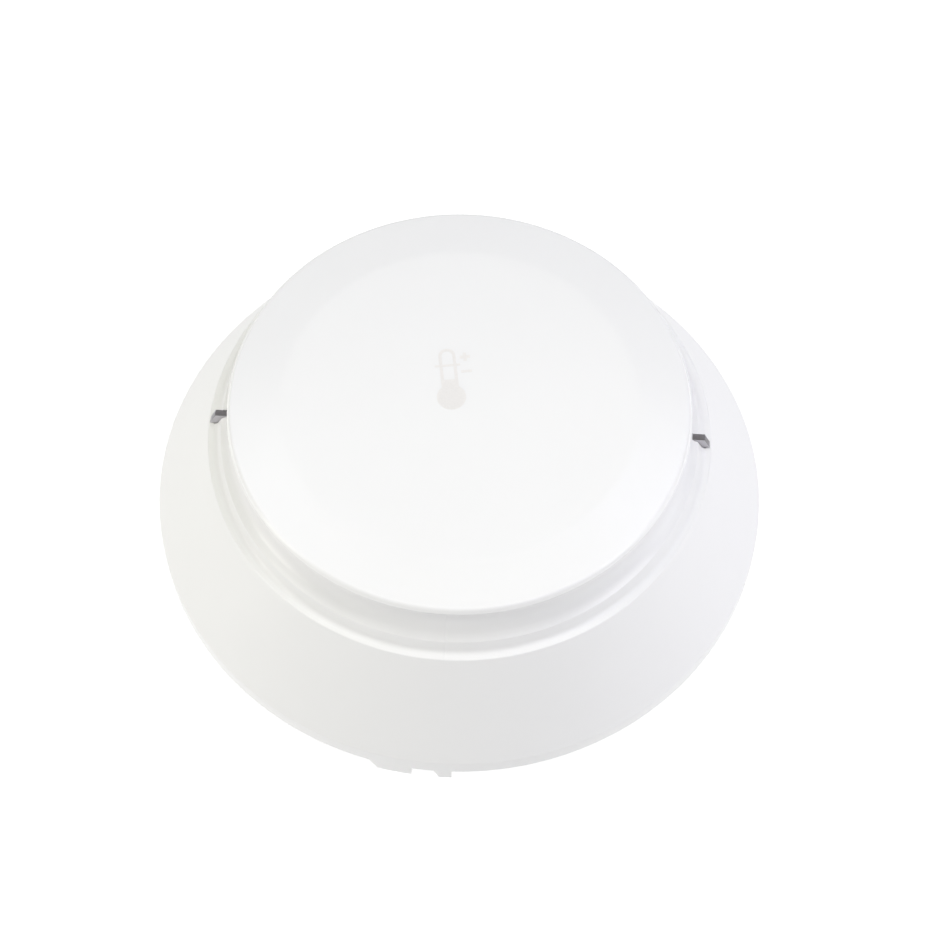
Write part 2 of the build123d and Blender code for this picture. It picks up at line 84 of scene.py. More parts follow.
def surface_object(name, points, faces):
    """A mesh object at the origin from an (n, 3) array of points in metres and its faces."""
    mesh = bpy.data.meshes.new(name)
    mesh.from_pydata(points.tolist(), [], faces)
    mesh.update()
    made = bpy.data.objects.new(name, mesh)
    bpy.context.collection.objects.link(made)
    return made


def new_material(name):
    """A node material: its nodes, its links, its shader, and Object coordinates in millimetres."""
    material = bpy.data.materials.new(name)
    material.use_nodes = True
    nodes, links = material.node_tree.nodes, material.node_tree.links
    shader = nodes["Principled BSDF"]
    place = nodes.new("ShaderNodeTexCoord")
    scale = nodes.new("ShaderNodeMapping")
    scale.inputs["Scale"].default_value = (1 / mm, 1 / mm, 1 / mm)
    links.new(place.outputs["Object"], scale.inputs["Vector"])
    return material, nodes, links, shader, scale.outputs["Vector"]


def noise(nodes, links, coords, per_mm, detail=2.0, roughness=0.5):
    """A noise that varies about per_mm times in each millimetre; gives its value, about 0.5."""
    node = nodes.new("ShaderNodeTexNoise")
    node.inputs["Scale"].default_value = per_mm
    node.inputs["Detail"].default_value = detail
    node.inputs["Roughness"].default_value = roughness
    links.new(coords, node.inputs["Vector"])
    return node.outputs["Fac"]


def between(nodes, links, value, low, high):
    """Spreads a value from its middle range, 0.3 to 0.7, over low to high."""
    node = nodes.new("ShaderNodeMapRange")
    node.inputs["From Min"].default_value = 0.3
    node.inputs["From Max"].default_value = 0.7
    node.inputs["To Min"].default_value = low
    node.inputs["To Max"].default_value = high
    links.new(value, node.inputs["Value"])
    return node.outputs["Result"]


def blend_colours(nodes, links, share, first, second):
    """Mixes two colours by a share from 0 to 1."""
    node = nodes.new("ShaderNodeMix")
    node.data_type = "RGBA"
    links.new(share, node.inputs["Factor"])
    node.inputs["A"].default_value = (*first, 1)
    node.inputs["B"].default_value = (*second, 1)
    return node.outputs["Result"]


def raise_surface(nodes, links, shader, height, depth_mm):
    """Bumps the shader's surface by a height value, depth_mm deep from 0 to 1."""
    node = nodes.new("ShaderNodeBump")
    node.inputs["Strength"].default_value = 1.0
    node.inputs["Distance"].default_value = depth_mm * mm
    links.new(height, node.inputs["Height"])
    links.new(node.outputs["Normal"], shader.inputs["Normal"])


floor_half = 3.0
floor_drop = 0.02 * mm
corner_signs = ((-1, -1), (1, -1), (1, 1), (-1, 1))
floor_corners = [(x * floor_half, y * floor_half, -floor_drop) for x, y in corner_signs]
floor = surface_object("table", np.array(floor_corners), [(0, 1, 2, 3)])
paper, nodes, links, shader, coords = new_material("white_table")
shader.inputs["Roughness"].default_value = 0.9
shader.inputs["Specular IOR Level"].default_value = 0.1
shader.inputs["Emission Color"].default_value = (1, 1, 1, 1)
shader.inputs["Emission Strength"].default_value = 0.92
mottle = between(nodes, links, noise(nodes, links, coords, 0.02, 3), 0, 1)
links.new(
    blend_colours(nodes, links, mottle, (0.20, 0.20, 0.20), (0.22, 0.22, 0.22)),
    shader.inputs["Base Color"],
)
floor.data.materials.append(paper)

box_distance = 0.9


def soft_box(name, azimuth, elevation, size, watts, colour, shape="SQUARE"):
    """An area light on a sphere round the detector, that faces its middle. Azimuth runs
    anticlockwise from +X."""
    data = bpy.data.lights.new(name, "AREA")
    data.shape = shape
    data.size = size
    data.energy = watts
    data.color = colour
    light = bpy.data.objects.new(name, data)
    a, e = math.radians(azimuth), math.radians(elevation)
    away = Vector((math.cos(a) * math.cos(e), math.sin(a) * math.cos(e), math.sin(e)))
    facing = away.to_track_quat("Z", "Y").to_matrix().to_4x4()
    light.matrix_world = Matrix.Translation(away * box_distance) @ facing
    bpy.context.collection.objects.link(light)


# a round box overhead, whose far edge shows as a soft gradient in the disc, cooler square boxes
# behind and to the front right as from windows, and neutral ones at the two sides
warm_white = (1.00, 1.00, 0.88)
neutral_white = (1.00, 0.98, 0.93)
cool_white = (0.80, 0.85, 1.00)
sky_white = (0.60, 0.62, 1.00)
soft_box("box_over", 0, 90, 1.17, 6.1, warm_white, "DISK")
soft_box("box_back_left", 150, 55, 0.5, 0.6, cool_white)
soft_box("box_back_right", 30, 55, 0.5, 1.2, sky_white)
soft_box("box_front_right", 330, 55, 0.5, 1.0, sky_white)
soft_box("box_left", 200, 40, 0.3, 1.4, neutral_white)
soft_box("box_right", 340, 40, 0.3, 1.8, neutral_white)
soft_box("box_low_left", 200, 8, 0.3, 2.0, neutral_white)
soft_box("box_low_right", 0, 8, 0.3, 1.0, neutral_white)

# the room beyond the table: white to look at, but it sheds no light
world = bpy.data.worlds.new("studio")
world.use_nodes = True
nodes, links = world.node_tree.nodes, world.node_tree.links
nodes["Background"].inputs["Color"].default_value = (1, 1, 1, 1)
seen = nodes.new("ShaderNodeLightPath")
links.new(seen.outputs["Is Camera Ray"], nodes["Background"].inputs["Strength"])
bpy.context.scene.world = world
bpy.context.scene.view_settings.view_transform = "Standard"

# ======== Outer cover ========
# One white moulding with a fine satin gloss: rim band with locking tabs, conical skirt, narrow ledge,
# ridge and coved neck. A parting line runs up the neck at the front and the back, where the two
# slides of the tool met, and a slot through ridge and ledge on each side takes a light pipe.


def rounded_outline(corners, radii, arc_steps=7):
    """A closed outline with rounded corners. Each corner gives way to an arc that touches both its
    sides: the arc starts radius * tan(turn / 2) before the corner, about a centre square to the
    side that it leaves, and sweeps the turn in equal steps."""
    corners, radii = np.array(corners, float), np.array(radii, float)
    arriving = corners - np.roll(corners, 1, axis=0)
    arriving /= np.linalg.norm(arriving, axis=1)[:, None]
    leaving = np.roll(arriving, -1, axis=0)
    turn = np.arctan2(
        arriving[:, 0] * leaving[:, 1] - arriving[:, 1] * leaving[:, 0],
        (arriving * leaving).sum(axis=1),
    )
    start = corners - arriving * (radii * np.tan(abs(turn) / 2))[:, None]
    square = np.stack([-arriving[:, 1], arriving[:, 0]], axis=1) * np.sign(turn)[:, None]
    centre = start + square * radii[:, None]
    swept = turn[:, None] * np.linspace(0, 1, arc_steps + 1)
    arm = (start - centre)[:, None, :]
    crossways = np.stack([-arm[..., 1], arm[..., 0]], axis=-1)
    points = centre[:, None, :] + arm * np.cos(swept)[..., None] + crossways * np.sin(swept)[..., None]
    points = points.reshape(-1, 2)
    apart = np.linalg.norm(points - np.roll(points, 1, axis=0), axis=1) > 1e-6
    return points[apart]


def spread_points(outline, longest):
    """The same closed outline with points added so that no stretch is longer than longest."""
    ends = np.roll(outline, -1, axis=0)
    counts = np.ceil(np.linalg.norm(ends - outline, axis=1) / longest).astype(int)
    stretch = np.repeat(np.arange(len(outline)), counts)
    step = np.arange(len(stretch)) - np.repeat(np.cumsum(counts) - counts, counts)
    share = (step / counts[stretch])[:, None]
    return outline[stretch] * (1 - share) + ends[stretch] * share


def with_crossings(outline, radius):
    """The same closed outline with a point added wherever it crosses a radius."""
    ends = np.roll(outline, -1, axis=0)
    crosses = np.nonzero((outline[:, 0] - radius) * (ends[:, 0] - radius) < 0)[0]
    share = (radius - outline[crosses, 0]) / (ends[crosses, 0] - outline[crosses, 0])
    found = outline[crosses] + (ends[crosses] - outline[crosses]) * share[:, None]
    return np.insert(outline, crosses + 1, found, axis=0)


def outward_normals(outline):
    """Unit normals of a closed outline that runs anticlockwise: each is square to the chord
    between the point's two neighbours."""
    chord = np.roll(outline, -1, axis=0) - np.roll(outline, 1, axis=0)
    normal = np.stack([chord[:, 1], -chord[:, 0]], axis=1)
    return normal / np.linalg.norm(normal, axis=1)[:, None]


def turned_points(radius, height, degrees):
    """Points of a turned surface: radius and height are (angles, rows) arrays or (rows,), and each
    row is carried round the axis. x = r cos a, y = r sin a, z = height."""
    a = np.radians(degrees)[:, None]
    radius, height = np.broadcast_arrays(np.atleast_2d(radius), np.atleast_2d(height))
    shape = (len(degrees), radius.shape[1])
    radius, height = np.broadcast_to(radius, shape), np.broadcast_to(height, shape)
    return np.stack([radius * np.cos(a), radius * np.sin(a), height], axis=-1)


def turned_faces(columns, rows, closed_section):
    """Quads between neighbouring angles and neighbouring rows of a turned surface."""
    last = rows if closed_section else rows - 1
    c, r = np.meshgrid(np.arange(columns), np.arange(last), indexing="ij")
    c2, r2 = (c + 1) % columns, (r + 1) % rows
    quads = np.stack([c * rows + r, c2 * rows + r, c2 * rows + r2, c * rows + r2], axis=-1)
    return quads.reshape(-1, 4), c.ravel(), r.ravel()


weld_distance = 0.0005 * mm
sharp_edge = math.radians(35)


def finish_piece(name, points_mm, faces, body, replaced=(), closed=True):
    """Makes a piece from points in millimetres: merges its poles, turns a closed shell's faces
    outwards, shades it smooth but for its sharp edges, and lets it ride on a body."""
    piece = surface_object(name, np.asarray(points_mm) * mm, faces)
    work = bmesh.new()
    work.from_mesh(piece.data)
    bmesh.ops.remove_doubles(work, verts=work.verts, dist=weld_distance)
    if closed:
        bmesh.ops.recalc_face_normals(work, faces=work.faces)
    work.to_mesh(piece.data)
    work.free()
    piece.data.shade_smooth()
    piece.data.set_sharp_from_angle(angle=sharp_edge)
    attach(piece, body)
    if replaced:
        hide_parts(*replaced)
    return piece


def joined(parts):
    """Several (points, faces) lists put together as one."""
    points, faces, first = [], [], 0
    for some_points, some_faces in parts:
        points.append(some_points)
        faces += [tuple(int(i) + first for i in face) for face in some_faces]
        first += len(some_points)
    return np.concatenate(points), faces


cover_low, cover_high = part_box("outer_cover")
rim_radius, neck_top = cover_high[0] / mm, cover_high[2] / mm
rim_bottom, rim_top, wall = 3.0, 6.6, 2.0
ledge_radius, ledge_height = 44.4, 26.1
ridge_radius, ridge_height = 42.0, 28.05
neck_radius = 39.5
cove_rise, cove_round = 1.39, 4.6
neck_root = 30.8
rim_inner = rim_radius - wall
neck_inner = neck_radius - wall
underside = ledge_height - wall
skirt_slope = (rim_radius - ledge_radius) / (ledge_height - rim_top)
skirt_wall = wall * math.hypot(1, skirt_slope)

# each corner of the wall's section: its radius from the axis, its height, and its rounding
cover_corners = [
    (rim_inner, rim_bottom, 0.3),
    (rim_radius, rim_bottom, 0.4),
    (rim_radius, rim_top, 0.9),
    (ledge_radius, ledge_height, 0.35),
    (ridge_radius + 0.9, ledge_height, 1.2),
    (ridge_radius, ridge_height, 0.3),
    (neck_radius, ridge_height + cove_rise, cove_round),
    (neck_radius, neck_top, 0.2),
    (neck_inner, neck_top, 0.2),
    (neck_inner, neck_root, 0.5),
    (ridge_radius - wall, ridge_height - 0.65, 0.5),
    (ridge_radius - 1.4, underside, 0.3),
    (rim_radius - skirt_wall - skirt_slope * (underside - rim_top), underside, 0.5),
    (rim_inner, rim_top - (skirt_wall - wall) / skirt_slope, 0.5),
]
slot_near, slot_far = 40.88, 43.52
slot_half_width = 0.70
slot_half_angle = math.degrees(slot_half_width / ((slot_near + slot_far) / 2))
slot_angles = (0.0, 180.0)

section = rounded_outline([c[:2] for c in cover_corners], [c[2] for c in cover_corners])
longest_step = 1.6
section = spread_points(section, longest_step)
for slot_radius in (slot_near, slot_far):
    section = with_crossings(section, slot_radius)
normals = outward_normals(section)
rows = len(section)

# each place has a long tab and a short one: its middle, half its foot, and where its ramp starts
tab_drop = rim_bottom - cover_low[2] / mm
tab_places = [
    (middle + turn, half, ramp)
    for turn in (0, 120, 240)
    for middle, half, ramp in ((-98.7, 3.20, 4.70), (-89.3, 1.18, 2.10))
]
seam_angles, seam_half, seam_rise = (-90.0, 90.0), 0.16, 0.03
whole_step, edge_step = 1.0, 0.01
degrees = np.concatenate(
    [np.arange(-180, 180, whole_step)]
    + [np.array((m - ramp, m - half, m + half, m + half + edge_step)) for m, half, ramp in tab_places]
    + [s + seam_half * np.array((-1.0, -0.5, 0.5, 1.0)) for s in seam_angles]
    + [s + slot_half_angle * np.array((-1.0, 1.0)) for s in slot_angles]
)
degrees = np.unique(np.round((degrees + 180) % 360 - 180, 6))
columns = len(degrees)


def turn_from(degrees, middle):
    """Signed angle from middle to each angle, between -180 and 180."""
    return (degrees - middle + 180) % 360 - 180


drop = np.zeros(columns)
for middle, half, ramp in tab_places:
    local = turn_from(degrees, middle)
    tab = np.interp(local, (-ramp, -half, half, half + edge_step), (0, tab_drop, tab_drop, 0), 0, 0)
    drop = np.maximum(drop, tab)
seam = np.zeros(columns)
for middle in seam_angles:
    seam = np.maximum(seam, np.clip(1 - abs(turn_from(degrees, middle)) / seam_half, 0, 1))

foot_band = 0.45
foot_rows = section[:, 1] < rim_bottom + foot_band
above_skirt = section[:, 1] > ledge_height - 0.02
faces_out = (normals[:, 0] > -0.5) & (section[:, 0] > neck_inner + 0.9)
rise = seam[:, None] * seam_rise * (above_skirt & faces_out)[None, :]
radius = section[None, :, 0] + rise * normals[None, :, 0]
height = section[None, :, 1] + rise * normals[None, :, 1] - drop[:, None] * foot_rows[None, :]
cover_points = turned_points(radius, height, degrees).reshape(-1, 3)
quads, quad_column, quad_row = turned_faces(columns, rows, True)

at_near = np.nonzero(abs(section[:, 0] - slot_near) < 1e-9)[0]
at_far = np.nonzero(abs(section[:, 0] - slot_far) < 1e-9)[0]
outer_far, outer_near = at_far[0], at_near[0]
inner_near, inner_far = at_near[1], at_far[1]
in_outer_rows = (quad_row >= outer_far) & (quad_row < outer_near)
in_inner_rows = (quad_row >= inner_near) & (quad_row < inner_far)
cell_middle = degrees[quad_column] + ((np.roll(degrees, -1) - degrees) % 360)[quad_column] / 2
open_cells = np.zeros(len(quads), bool)
slot_walls = []
for slot_middle in slot_angles:
    near_slot = abs(turn_from(cell_middle, slot_middle)) < slot_half_angle
    open_cells |= near_slot & (in_outer_rows | in_inner_rows)
    slot_edges = [slot_middle + way * slot_half_angle for way in (-1, 1)]
    sides = [int(np.argmin(abs(turn_from(degrees, edge)))) for edge in slot_edges]
    for side in sides:
        around = list(range(outer_far, outer_near + 1)) + list(range(inner_near, inner_far + 1))
        slot_walls.append([side * rows + r for r in around])
    column = sides[0]
    while column != sides[1]:
        after = (column + 1) % columns
        for outer_row, inner_row in ((outer_far, inner_far), (outer_near, inner_near)):
            slot_walls.append([column * rows + outer_row, after * rows + outer_row,
                               after * rows + inner_row, column * rows + inner_row])
        column = after
cover_faces = quads[~open_cells].tolist() + slot_walls

boss_angles, boss_radius = (90, 210, 330), 41.5
boss_hole, boss_half, boss_floor, boss_end = 1.45, 3.2, 18.5, 11.5
boss_outline = np.array([
    (0, boss_floor),
    (boss_hole, boss_floor),
    (boss_hole, boss_end),
    (boss_half, boss_end),
    (boss_half, underside),
    (0, underside),
])
boss_step = 7.5
boss_degrees = np.arange(0, 360, boss_step)
bosses = []
for angle in boss_angles:
    boss = turned_points(boss_outline[:, 0], boss_outline[:, 1], boss_degrees).reshape(-1, 3)
    a = math.radians(angle)
    boss = boss + (boss_radius * math.cos(a), boss_radius * math.sin(a), 0)
    bosses.append((boss, turned_faces(len(boss_degrees), len(boss_outline), False)[0].tolist()))
all_points, all_faces = joined([(cover_points, cover_faces)] + bosses)
cover = finish_piece("cover_moulding", all_points, all_faces, "head", ["outer_cover"])


def satin_white(name, colour, roughness, grain_mm=0.0008):
    """White moulded plastic: colour drifts by less than a hundredth over a centimetre, gloss drifts
    over a few millimetres, and a spark-eroded tool leaves a very fine grain."""
    colour_per_mm, gloss_per_mm, grain_per_mm = 0.07, 0.5, 3.0
    paler, gloss_spread = 1.008, 0.03
    material, nodes, links, shader, coords = new_material(name)
    drift = between(nodes, links, noise(nodes, links, coords, colour_per_mm, 2), 0, 1)
    pale = tuple(c * paler for c in colour)
    links.new(blend_colours(nodes, links, drift, colour, pale), shader.inputs["Base Color"])
    cloud = noise(nodes, links, coords, gloss_per_mm, 3)
    gloss = between(nodes, links, cloud, roughness - gloss_spread, roughness + gloss_spread)
    links.new(gloss, shader.inputs["Roughness"])
    shader.inputs["IOR"].default_value = 1.5
    grain = noise(nodes, links, coords, grain_per_mm, 2, 0.6)
    raise_surface(nodes, links, shader, grain, grain_mm)
    return material


cover.data.materials.append(satin_white("cover_white", (0.86, 0.86, 0.86), 0.33))

# ======== Face disc ========
# The crowned collector disc, moulded in the same white: nearly flat inside a soft ring, then falling
# to a rounded edge that overhangs the neck. A spigot under it snaps into the neck on four barbed legs.
ink_room = 0.03
disc_radius, disc_top = 40.4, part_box("face_disc")[1][2] / mm - ink_room
crown_ring, crown_drop, crown_round = 31.1, 0.06, 14.0
disc_under = neck_top + 0.1
disc_wall, disc_edge_drop = 1.9, 0.85
spigot_foot = 31.8
disc_inner = disc_top - disc_wall
spigot_outer = neck_inner - 0.3
spigot_inner = spigot_outer - 1.4
disc_corners = [
    (crown_ring, disc_inner, 5.0),
    (spigot_inner, disc_inner - 0.9, 0.6),
    (spigot_inner, spigot_foot, 0.2),
    (spigot_outer, spigot_foot, 0.2),
    (spigot_outer, disc_under, 0.05),
    (disc_radius - 0.5, disc_under, 0.25),
    (disc_radius, disc_under + 0.55, 0.5),
    (disc_radius - 0.35, disc_top - disc_edge_drop, 0.8),
    (crown_ring, disc_top - crown_drop, crown_round),
]
disc_section = rounded_outline(
    [(0, disc_inner)] + [c[:2] for c in disc_corners] + [(0, disc_top)],
    [0] + [c[2] for c in disc_corners] + [0],
    arc_steps=10,
)
longest_disc_step = 2.5
disc_section = spread_points(disc_section, longest_disc_step)
on_axis = disc_section[:, 0] < 1e-9
start_row = int(np.nonzero(on_axis & (abs(disc_section[:, 1] - disc_inner) < 1e-9))[0][0])
disc_section = np.roll(disc_section, -start_row, axis=0)
last_row = int(np.nonzero(abs(disc_section[:, 1] - disc_top) < 1e-9)[0][0])
disc_section = disc_section[: last_row + 1]
disc_degrees = np.arange(-180, 180, whole_step)
disc_points = turned_points(disc_section[:, 0], disc_section[:, 1], disc_degrees).reshape(-1, 3)
disc_faces = turned_faces(len(disc_degrees), len(disc_section), False)[0].tolist()


def radial_prism(outline, half_width, degrees):
    """A flat outline of (radius, height) points, pushed half_width each way square to itself, and
    turned to an angle. Its two ends are flat faces and its sides are quads."""
    outline = np.array(outline, float)
    count = len(outline)
    a = math.radians(degrees)
    out, side = np.array((math.cos(a), math.sin(a), 0)), np.array((-math.sin(a), math.cos(a), 0))
    flat = outline[:, :1] * out + outline[:, 1:] * np.array((0, 0, 1.0))
    points = np.concatenate([flat - side * half_width, flat + side * half_width])
    i = np.arange(count)
    j = (i + 1) % count
    quads = np.stack([i, j, j + count, i + count], axis=1).tolist()
    return points, quads + [i.tolist(), (i + count).tolist()]


leg_top, leg_foot, leg_half_width = 33.0, 28.4, 4.0
barb_reach, barb_low, barb_high, barb_end = 0.7, 29.4, 29.9, 30.9
leg_angles = (45, 135, 225, 315)
barb_outline = [
    (spigot_inner + 0.3, leg_top),
    (spigot_inner + 0.3, leg_foot),
    (spigot_outer - 0.3, leg_foot),
    (spigot_outer + barb_reach, barb_low),
    (spigot_outer + barb_reach, barb_high),
    (spigot_outer - 0.1, barb_end),
    (spigot_outer - 0.1, leg_top),
]
legs = [radial_prism(barb_outline, leg_half_width, angle) for angle in leg_angles]
all_points, all_faces = joined([(disc_points, disc_faces)] + legs)
disc = finish_piece("face_disc_moulding", all_points, all_faces, "head", ["face_disc"])
disc.data.materials.append(satin_white("disc_white", (0.88, 0.88, 0.88), 0.21))

# ======== Printed pictogram ========
# A thermometer with a plus and a minus beside it, pad-printed in pale warm grey ink on the disc, a
# little off its middle and turned a few degrees, as the head happened to be held in the printer.
ink_rise, ink_bite = 0.02, 0.01
print_turn = math.radians(9.0)
print_origin = np.array((-1.45, 0.62))
bulb_radius = 2.55
tube_half, stroke = 1.50, 0.56
tube_top_centre = 8.40
fill_top = 3.55
mark_height, mark_width = 6.45, 0.42
mark_left, mark_right = -2.30, 2.15
plus_middle, plus_reach, plus_width = np.array((3.10, 7.93)), 0.88, 0.60
minus_left, minus_right, minus_height, minus_width = 2.15, 4.05, 4.98, 0.50


def stroke_strip(centre_line, width):
    """A flat ribbon along a line of (x, y) points: each point is moved half the width each way,
    square to the line there."""
    line = np.array(centre_line, float)
    along = np.gradient(line, axis=0)
    along /= np.linalg.norm(along, axis=1)[:, None]
    square = np.stack([-along[:, 1], along[:, 0]], axis=1) * width / 2
    count = len(line)
    i = np.arange(count - 1)
    quads = np.stack([i, i + 1, i + 1 + count, i + count], axis=1)
    return np.concatenate([line + square, line - square]), quads.tolist()


def straight(start, end, steps=6):
    """Evenly spaced points from start to end."""
    share = np.linspace(0, 1, steps)[:, None]
    return np.array(start, float) * (1 - share) + np.array(end, float) * share


def level(left, right, height, steps=6):
    """Evenly spaced points from left to right at one height."""
    return straight((left, height), (right, height), steps)


arch = np.radians(np.linspace(0, 180, 25))
side_reach = tube_half - stroke / 2
tube_line = np.concatenate([
    straight((side_reach, fill_top), (side_reach, tube_top_centre), 9)[:-1],
    np.stack([side_reach * np.cos(arch), tube_top_centre + side_reach * np.sin(arch)], 1),
    straight((-side_reach, tube_top_centre), (-side_reach, fill_top), 9)[1:],
])
# the bulb is a disc whose top the tube cuts: its rim runs round from one side of the tube to the other
open_angle = math.acos(tube_half / bulb_radius)
rim_angle = np.linspace(math.pi - open_angle, 2 * math.pi + open_angle, 49)
bulb_rim = bulb_radius * np.stack([np.cos(rim_angle), np.sin(rim_angle)], 1)
fill_line = [(x, fill_top) for x in (tube_half, tube_half - stroke, stroke - tube_half, -tube_half)]
bulb_and_fill = np.concatenate([bulb_rim, fill_line])
plus_arm = straight((0, plus_width / 2), (0, plus_reach))
shapes = [
    stroke_strip(tube_line, stroke),
    (bulb_and_fill, [list(range(len(bulb_and_fill)))]),
    stroke_strip(level(stroke / 2 - side_reach, side_reach - stroke / 2, mark_height), mark_width),
    stroke_strip(level(mark_left, -tube_half, mark_height), mark_width),
    stroke_strip(level(tube_half, mark_right, mark_height), mark_width),
    stroke_strip(plus_middle - plus_arm[::-1], plus_width),
    stroke_strip(plus_middle + plus_arm, plus_width),
    stroke_strip(plus_middle + level(-plus_reach, plus_reach, 0, 12), plus_width),
    stroke_strip(level(minus_left, minus_right, minus_height, 12), minus_width),
]


def faces_up(points, faces):
    """The same faces, each run anticlockwise seen from above: one whose shoelace area is negative
    is turned round."""
    turned = []
    for face in faces:
        x, y = points[list(face)].T
        area = (x * np.roll(y, -1) - np.roll(x, -1) * y).sum()
        turned.append(face if area > 0 else face[::-1])
    return turned


flat_points, ink_faces = joined(shapes)
ink_faces = faces_up(flat_points, ink_faces)
print_right = np.array((math.cos(print_turn), math.sin(print_turn)))
print_up = np.array((-math.sin(print_turn), math.cos(print_turn)))
flat_points = flat_points[:, :1] * print_right + flat_points[:, 1:] * print_up + print_origin
top_rows = disc_section[disc_section[:, 1] > disc_top - 1.0]
top_rows = top_rows[np.argsort(top_rows[:, 0])]
ink_height = np.interp(np.linalg.norm(flat_points, axis=1), top_rows[:, 0], top_rows[:, 1]) + ink_rise
ink_points = np.column_stack([flat_points, ink_height])
pictogram = finish_piece("printed_pictogram", ink_points, ink_faces, "head", closed=False)
layer = pictogram.modifiers.new("ink_thickness", "SOLIDIFY")
layer.thickness = (ink_rise + ink_bite) * mm
layer.offset = -1
pictogram.data.shade_flat()
ink, nodes, links, shader, coords = new_material("warm_grey_ink")
density = between(nodes, links, noise(nodes, links, coords, 3.0, 3, 0.6), 0, 1)
links.new(
    blend_colours(nodes, links, density, (0.81, 0.792, 0.773), (0.84, 0.822, 0.803)),
    shader.inputs["Base Color"],
)
shader.inputs["Roughness"].default_value = 0.5
raise_surface(nodes, links, shader, noise(nodes, links, coords, 9.0, 2), 0.002)
pictogram.data.materials.append(ink)

# ======== Light pipes ========
# Clear polycarbonate wedges that carry the lamps' light from the board to the two sides. Each stands
# a little proud of the ridge, slopes to the ledge's edge, and its stem goes down through the slot.
# The top and the slope are polished, and the sides are satin, so that they glow evenly.
pipe_middle, pipe_half_width, pipe_half_length = 42.2, 0.62, 1.2
pipe_foot = 17.4
pipe_lip, pipe_top = ledge_height + 0.12, ridge_height + 0.7
slope_low, slope_high = 2.0, 0.9
pipe_outline = [
    (pipe_middle - pipe_half_length, pipe_foot),
    (pipe_middle + pipe_half_length, pipe_foot),
    (pipe_middle + pipe_half_length, pipe_lip),
    (pipe_middle + slope_low, pipe_lip),
    (pipe_middle + slope_high, pipe_top),
    (pipe_middle - pipe_half_length, pipe_top),
]


def polycarbonate(name, colour, transmission, low_gloss, high_gloss):
    """Clear moulded polycarbonate: a faint ripple from the tool, and a polish that drifts between
    two roughnesses."""
    material, nodes, links, shader, coords = new_material(name)
    shader.inputs["Base Color"].default_value = (*colour, 1)
    shader.inputs["Transmission Weight"].default_value = transmission
    shader.inputs["IOR"].default_value = 1.58
    polish = between(nodes, links, noise(nodes, links, coords, 1.5, 2), low_gloss, high_gloss)
    links.new(polish, shader.inputs["Roughness"])
    raise_surface(nodes, links, shader, noise(nodes, links, coords, 2.0, 2), 0.003)
    return material


polished = polycarbonate("clear_polycarbonate", (0.66, 0.60, 0.72), 0.97, 0.02, 0.08)
satin = polycarbonate("satin_polycarbonate", (0.72, 0.70, 0.74), 0.35, 0.34, 0.42)
least_lean = 0.3
for side, angle in (("right", 0), ("left", 180)):
    points, faces = radial_prism(pipe_outline, pipe_half_width, angle)
    pipe = finish_piece(
        "light_pipe_prism_" + side, points, faces, "head", ["light_pipe_" + side]
    )
    edges = pipe.modifiers.new("edges", "BEVEL")
    edges.width = 0.07 * mm
    edges.segments = 2
    edges.limit_method = "ANGLE"
    pipe.data.materials.append(polished)
    pipe.data.materials.append(satin)
    for face in pipe.data.polygons:
        face.material_index = 0 if face.normal.z > least_lean else 1


def finish_node(name, material):
    """Gives a carried-over node its material."""
    slots = cad_nodes[name].data.materials
    slots.clear()
    slots.append(material)


finish_node("rear_chassis", satin_white("chassis_white", (0.80, 0.80, 0.79), 0.45, 0.004))


def plated_metal(name, colour, dull_colour, roughness, per_mm=0.6, lay=(1, 1, 1)):
    """Drawn or plated metal: dull patches drift through the colour, the gloss drifts with them, and
    fine tool marks run along the axis whose share in lay is small."""
    smoother, rougher, marks_per_mm, mark_depth = 0.08, 0.10, 6.0, 0.010
    material, nodes, links, shader, coords = new_material(name)
    patches = between(nodes, links, noise(nodes, links, coords, per_mm, 4, 0.6), 0, 1)
    links.new(blend_colours(nodes, links, patches, colour, dull_colour), shader.inputs["Base Color"])
    cloud = noise(nodes, links, coords, per_mm * 2, 3)
    gloss = between(nodes, links, cloud, roughness - smoother, roughness + rougher)
    links.new(gloss, shader.inputs["Roughness"])
    shader.inputs["Metallic"].default_value = 1.0
    stretch = nodes.new("ShaderNodeMapping")
    stretch.inputs["Scale"].default_value = lay
    links.new(coords, stretch.inputs["Vector"])
    marks = noise(nodes, links, stretch.outputs["Vector"], marks_per_mm, 2)
    raise_surface(nodes, links, shader, marks, mark_depth)
    return material


zinc = plated_metal("zinc_plate", (0.72, 0.73, 0.75), (0.60, 0.61, 0.60), 0.38)
finish_node("chassis_screws", zinc)
finish_node("board_screws", zinc)

# ======== Circuit board ========
# Glass-fibre board under a green solder mask: copper tracks show as slightly raised, paler stripes on
# a square grid, and the weave of the cloth shows through faintly.
mask_green, track_green = (0.012, 0.125, 0.045), (0.030, 0.210, 0.080)
track_pitch, track_edge = 2.4, 0.72
weave_pitch, weave_share, copper_rise = 0.5, 0.2, 0.03
board_green, nodes, links, shader, coords = new_material("solder_mask_green")


def stripes(nodes, links, coords, pitch_mm, along, bend=0.0):
    """Even stripes across one axis, pitch_mm apart: a sine of the place, bent by a noise."""
    node = nodes.new("ShaderNodeTexWave")
    node.wave_type = "BANDS"
    node.bands_direction = along
    node.inputs["Scale"].default_value = math.pi / (10 * pitch_mm)
    node.inputs["Distortion"].default_value = bend
    node.inputs["Detail Scale"].default_value = 0.6
    links.new(coords, node.inputs["Vector"])
    return node.outputs["Fac"]


def combine(nodes, links, operation, first, second):
    """One arithmetic step on two values."""
    node = nodes.new("ShaderNodeMath")
    node.operation = operation
    for socket, value in zip(node.inputs, (first, second)):
        if isinstance(value, (int, float)):
            socket.default_value = value
        else:
            links.new(value, socket)
    return node.outputs["Value"]


